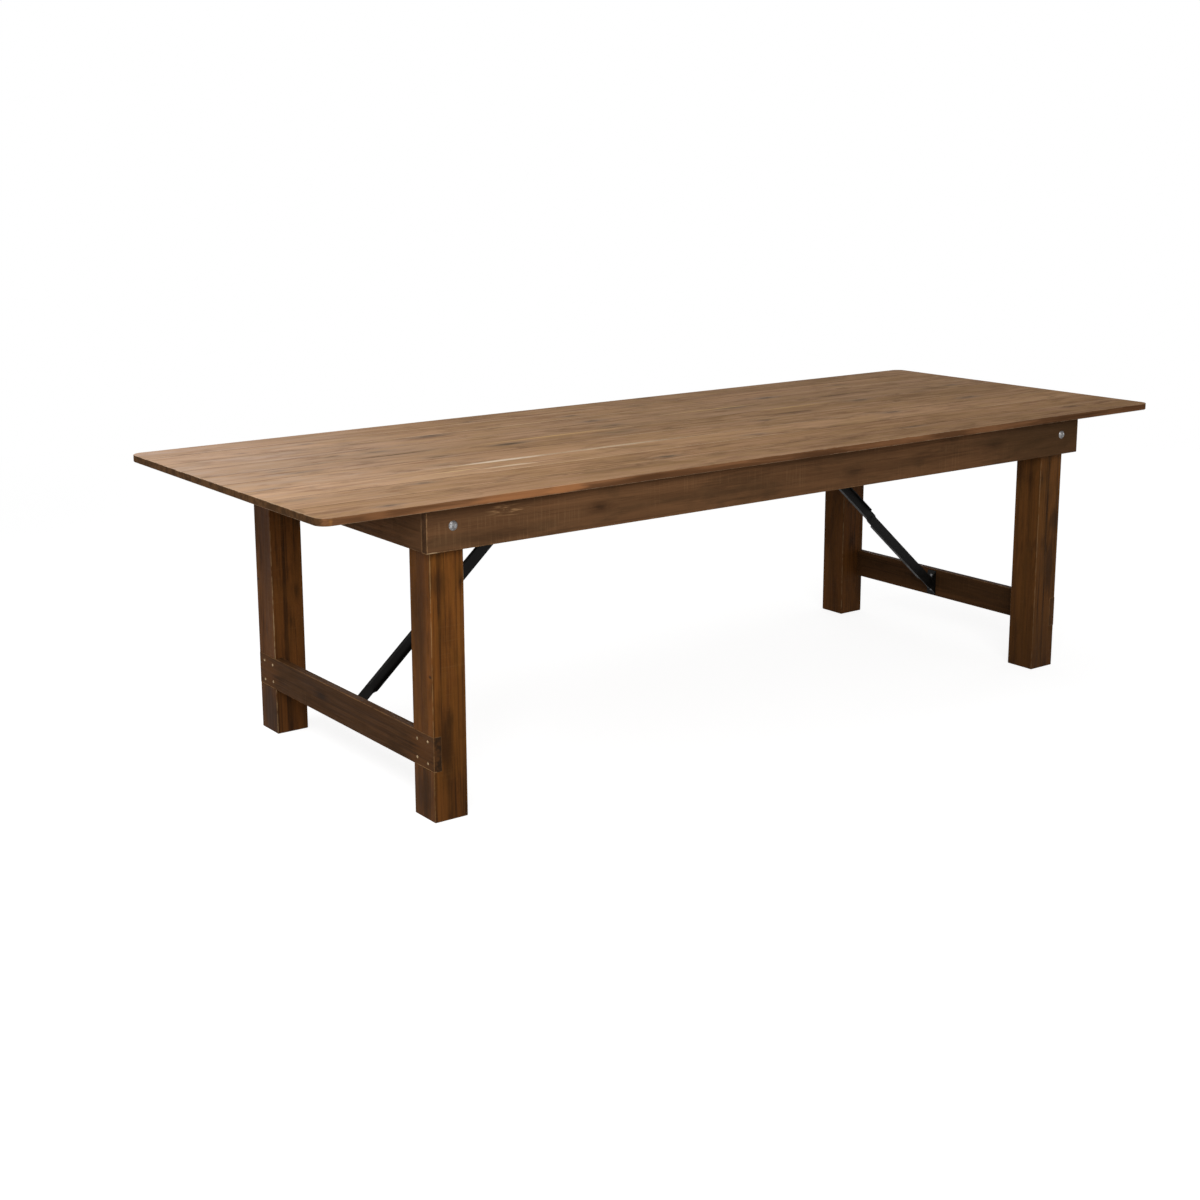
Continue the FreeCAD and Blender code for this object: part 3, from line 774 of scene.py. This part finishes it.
def floor():
    """A plain pale floor that keeps the table's shadow and turns white away from it."""
    reach = 60
    level = -0.0003
    grey = 0.4
    glow_strength = 0.84
    fade_from, fade_to = 2.2, 5.0
    mesh = bpy.data.meshes.new("floor")
    mesh.from_pydata([(-reach, -reach, level), (reach, -reach, level),
                      (reach, reach, level), (-reach, reach, level)], [], [(0, 1, 2, 3)])
    piece = bpy.data.objects.new("floor", mesh)
    bpy.context.scene.collection.objects.link(piece)
    net = Net("floor")
    net.shader.inputs["Base Color"].default_value = (grey, grey, grey, 1)
    net.shader.inputs["Roughness"].default_value = 0.9
    net.shader.inputs["Specular IOR Level"].default_value = 0.0
    path = net.add("LightPath")
    mirrored = net.math("MAXIMUM", path.outputs["Is Glossy Ray"],
                        path.outputs["Is Transmission Ray"])
    seen = net.math("MAXIMUM", path.outputs["Is Camera Ray"], mirrored)
    glow = net.add("Emission")
    glow.inputs["Color"].default_value = white
    net.link(net.times(seen, glow_strength), glow.inputs["Strength"])
    both = net.add("AddShader")
    net.link(net.shader.outputs[0], both.inputs[0])
    net.link(glow.outputs[0], both.inputs[1])
    plain = net.add("Emission")
    plain.inputs["Color"].default_value = white
    place = net.add("VectorMath")
    place.operation = "LENGTH"
    net.link(net.add("TexCoord").outputs["Object"], place.inputs[0])
    away = net.times(net.span(place.outputs["Value"], fade_from, fade_to), seen)
    ends = net.add("MixShader")
    net.link(away, ends.inputs[0])
    net.link(both.outputs[0], ends.inputs[1])
    net.link(plain.outputs[0], ends.inputs[2])
    net.link(ends.outputs[0], net.output.inputs["Surface"])
    mesh.materials.append(net.material)


def world():
    """A white background that lights the table softly."""
    soft_strength = 0.2
    white_strength = 1.0
    made = bpy.data.worlds.new("world")
    bpy.context.scene.world = made
    made.use_nodes = True
    tree = made.node_tree
    tree.nodes.clear()
    output = tree.nodes.new("ShaderNodeOutputWorld")
    mixed = tree.nodes.new("ShaderNodeMixShader")
    path = tree.nodes.new("ShaderNodeLightPath")
    seen = tree.nodes.new("ShaderNodeMath")
    mirrored = tree.nodes.new("ShaderNodeMath")
    for node, first, second in (
            (mirrored, path.outputs["Is Glossy Ray"], path.outputs["Is Transmission Ray"]),
            (seen, path.outputs["Is Camera Ray"], mirrored.outputs[0])):
        node.operation = "MAXIMUM"
        tree.links.new(first, node.inputs[0])
        tree.links.new(second, node.inputs[1])
    tree.links.new(seen.outputs[0], mixed.inputs[0])
    for number, strength in ((1, soft_strength), (2, white_strength)):
        background = tree.nodes.new("ShaderNodeBackground")
        background.inputs["Color"].default_value = white
        background.inputs["Strength"].default_value = strength
        tree.links.new(background.outputs[0], mixed.inputs[number])
    tree.links.new(mixed.outputs[0], output.inputs["Surface"])


def lamp(name, at, target, size, watts):
    """A soft rectangular lamp that the camera doesn't see."""
    data = bpy.data.lights.new(name, "AREA")
    data.shape = "RECTANGLE"
    data.size, data.size_y = size
    data.energy = watts
    piece = bpy.data.objects.new(name, data)
    bpy.context.scene.collection.objects.link(piece)
    piece.location = at
    piece.rotation_mode = "QUATERNION"
    piece.rotation_quaternion = (Vector(target) - Vector(at)).to_track_quat("-Z", "Y")
    piece.visible_camera = False


def camera():
    """The photograph's camera, from the places of the table's corners, screws and bolt in it."""
    eye = (-3.0769, -3.7808, 1.5285)
    turn, tilt, roll = 0.6195, 0.2103, -0.0067
    # In the photograph's pixels
    width = 1200
    focal_length = 1798.0
    centre_x, centre_y = 566.0, 524.4
    ahead = Vector((math.cos(tilt) * math.sin(turn), math.cos(tilt) * math.cos(turn),
                    -math.sin(tilt)))
    right = ahead.cross(Vector((0, 0, 1))).normalized()
    up = right.cross(ahead)
    across = math.cos(roll) * right + math.sin(roll) * up
    upward = -math.sin(roll) * right + math.cos(roll) * up
    data = bpy.data.cameras.new("camera")
    data.sensor_width = 36
    data.lens = data.sensor_width * focal_length / width
    data.shift_x = (width / 2 - centre_x) / width
    data.shift_y = (centre_y - width / 2) / width
    data.clip_end = 200
    piece = bpy.data.objects.new("camera", data)
    bpy.context.scene.collection.objects.link(piece)
    axes = Matrix((across, upward, -ahead)).transposed()
    piece.matrix_world = Matrix.Translation(eye) @ axes.to_4x4()
    bpy.context.scene.camera = piece


floor()
world()
# Each lamp's place, the point it faces, its size and its power in watts
lamp("key", (-2.2, 0.3, 2.2), (-1.0, 0, 0.76), (1.5, 1.5), 30)
lamp("fill", (1.6, 0.6, 3.5), (0.6, 0, 0.76), (2.0, 2.0), 12.5)
lamp("front", (-2.9, -4.4, 2.6), (-0.8, 0, 0.4), (3.4, 2.2), 185)
lamp("back", (2.8, 4.6, 0.42), (0.4, 0, 0.42), (3.6, 0.6), 60)
lamp("right", (5.0, 0.4, 0.42), (1.37, 0, 0.42), (2.0, 0.6), 32)
camera()
bpy.context.scene.view_settings.view_transform = "Standard"
